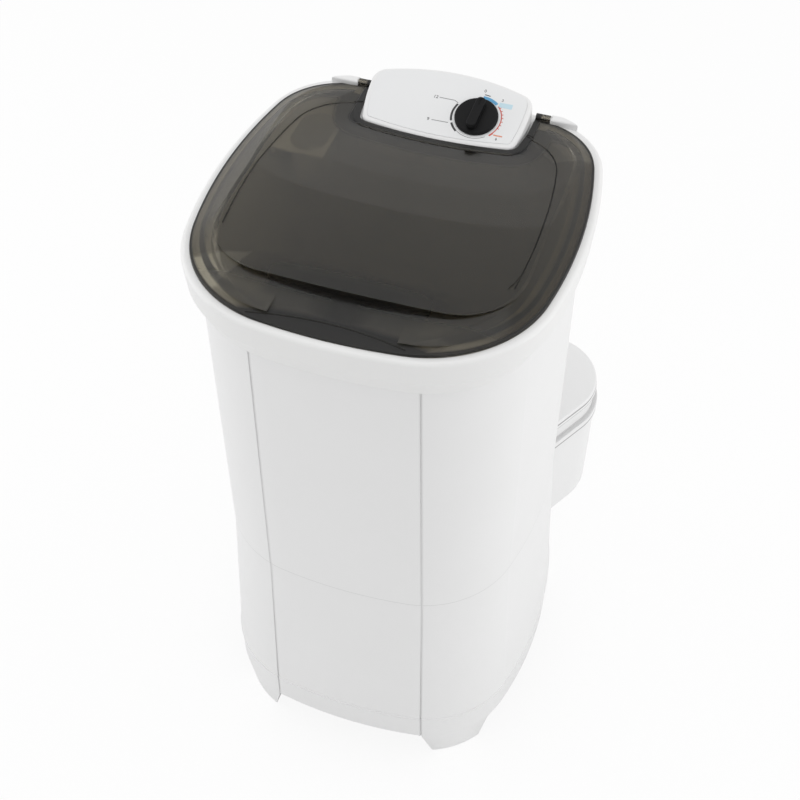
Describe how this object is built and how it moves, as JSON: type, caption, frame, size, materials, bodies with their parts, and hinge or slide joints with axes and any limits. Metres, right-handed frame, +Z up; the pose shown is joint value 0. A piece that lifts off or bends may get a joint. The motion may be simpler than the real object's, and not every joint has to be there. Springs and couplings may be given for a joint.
{
  "type": "semi-automatic washing machine",
  "caption": "Free-standing top-loading washing machine with a smoked hinged lid, timer knob on a sloping console, agitator tub and belt-drive motor housing behind the base",
  "frame": {"origin": "middle of the bounding box on the floor under the feet", "axes": "+X to the machine's right seen from the front (shortest extent), +Y to its back, +Z up (longest extent)"},
  "size_m": [0.4343, 0.5548, 0.8511],
  "materials": {
    "shell_white": "smooth",
    "tub_white": "smooth",
    "smoked_lid": "smoked clear plastic",
    "fascia_white": "printed",
    "knob_black": "fine grain",
    "pad_rubber": "matt",
    "belt_rubber": "matt",
    "agitator_grey": "satin",
    "cup_white": "satin",
    "dark_plastic": "satin",
    "pulley_plastic": "satin",
    "shaft_steel": "ground",
    "zinc_steel": "zinc plated",
    "bell_aluminium": "cast",
    "stator_iron": "varnished laminations",
    "winding_copper": "enamelled copper wire",
    "bush_bronze": "sintered"
  },
  "bodies": {
    "cabinet": {"wash_tub": "tub_white", "upper_cabinet": "shell_white", "base": "shell_white", "foot_pads": "pad_rubber", "hinge_blocks": "shell_white", "console": "shell_white", "fascia": "fascia_white", "timer": "dark_plastic", "console_screws": "zinc_steel", "soap_cup": "cup_white", "bearing_housing": "dark_plastic", "housing_screws": "zinc_steel", "bearing_bushes": "bush_bronze", "shaft_seal": "pad_rubber", "drive_belt": "belt_rubber", "tower_pot": "shell_white", "vent_ring": "shell_white", "tower_cap": "shell_white", "motor_plate": "zinc_steel", "motor_screws": "zinc_steel", "motor_bells": "bell_aluminium", "motor_stator": "stator_iron", "motor_windings": "winding_copper", "capacitor": "bell_aluminium", "capacitor_clip": "dark_plastic", "drain_strainer": "agitator_grey", "drain_pipe": "dark_plastic", "drain_grommet": "pad_rubber", "cord_gland": "dark_plastic", "hose_clip": "shell_white"},
    "lid_body": {"lid": "smoked_lid", "hinge_pins": "shaft_steel"},
    "knob_body": {"knob": "knob_black", "timer_shaft": "dark_plastic"},
    "agitator_body": {"agitator": "agitator_grey", "agitator_screw": "zinc_steel", "agitator_shaft": "shaft_steel", "driven_pulley": "pulley_plastic", "pulley_nut": "zinc_steel"},
    "rotor_body": {"rotor": "shaft_steel", "motor_pulley": "pulley_plastic", "motor_fan": "dark_plastic"}
  },
  "joints": [
    {"name": "lid_hinge", "type": "hinge", "parent": "cabinet", "child": "lid_body", "pos_m": [-0.0028, 0.1484, 0.8216], "axis": [-1, 0, 0], "range_deg": [0, 100]},
    {"name": "knob_turn", "type": "hinge", "parent": "cabinet", "child": "knob_body", "pos_m": [0.0402, 0.11014, 0.8322], "axis": [0, 0.3173, -0.9483], "range_deg": [0, 300]},
    {"name": "rotor_spin", "type": "hinge", "parent": "cabinet", "child": "rotor_body", "pos_m": [0.1322, 0.1924, 0.172], "axis": [0, 0, 1], "continuous": true},
    {"name": "agitator_spin", "type": "hinge", "parent": "cabinet", "child": "agitator_body", "pos_m": [-0.0028, -0.0576, 0.172], "axis": [0, 0, 1], "continuous": true}
  ],
  "couplings": [
    {"joint": "agitator_spin", "follows": "rotor_spin", "ratio": 0.27907}
  ]
}
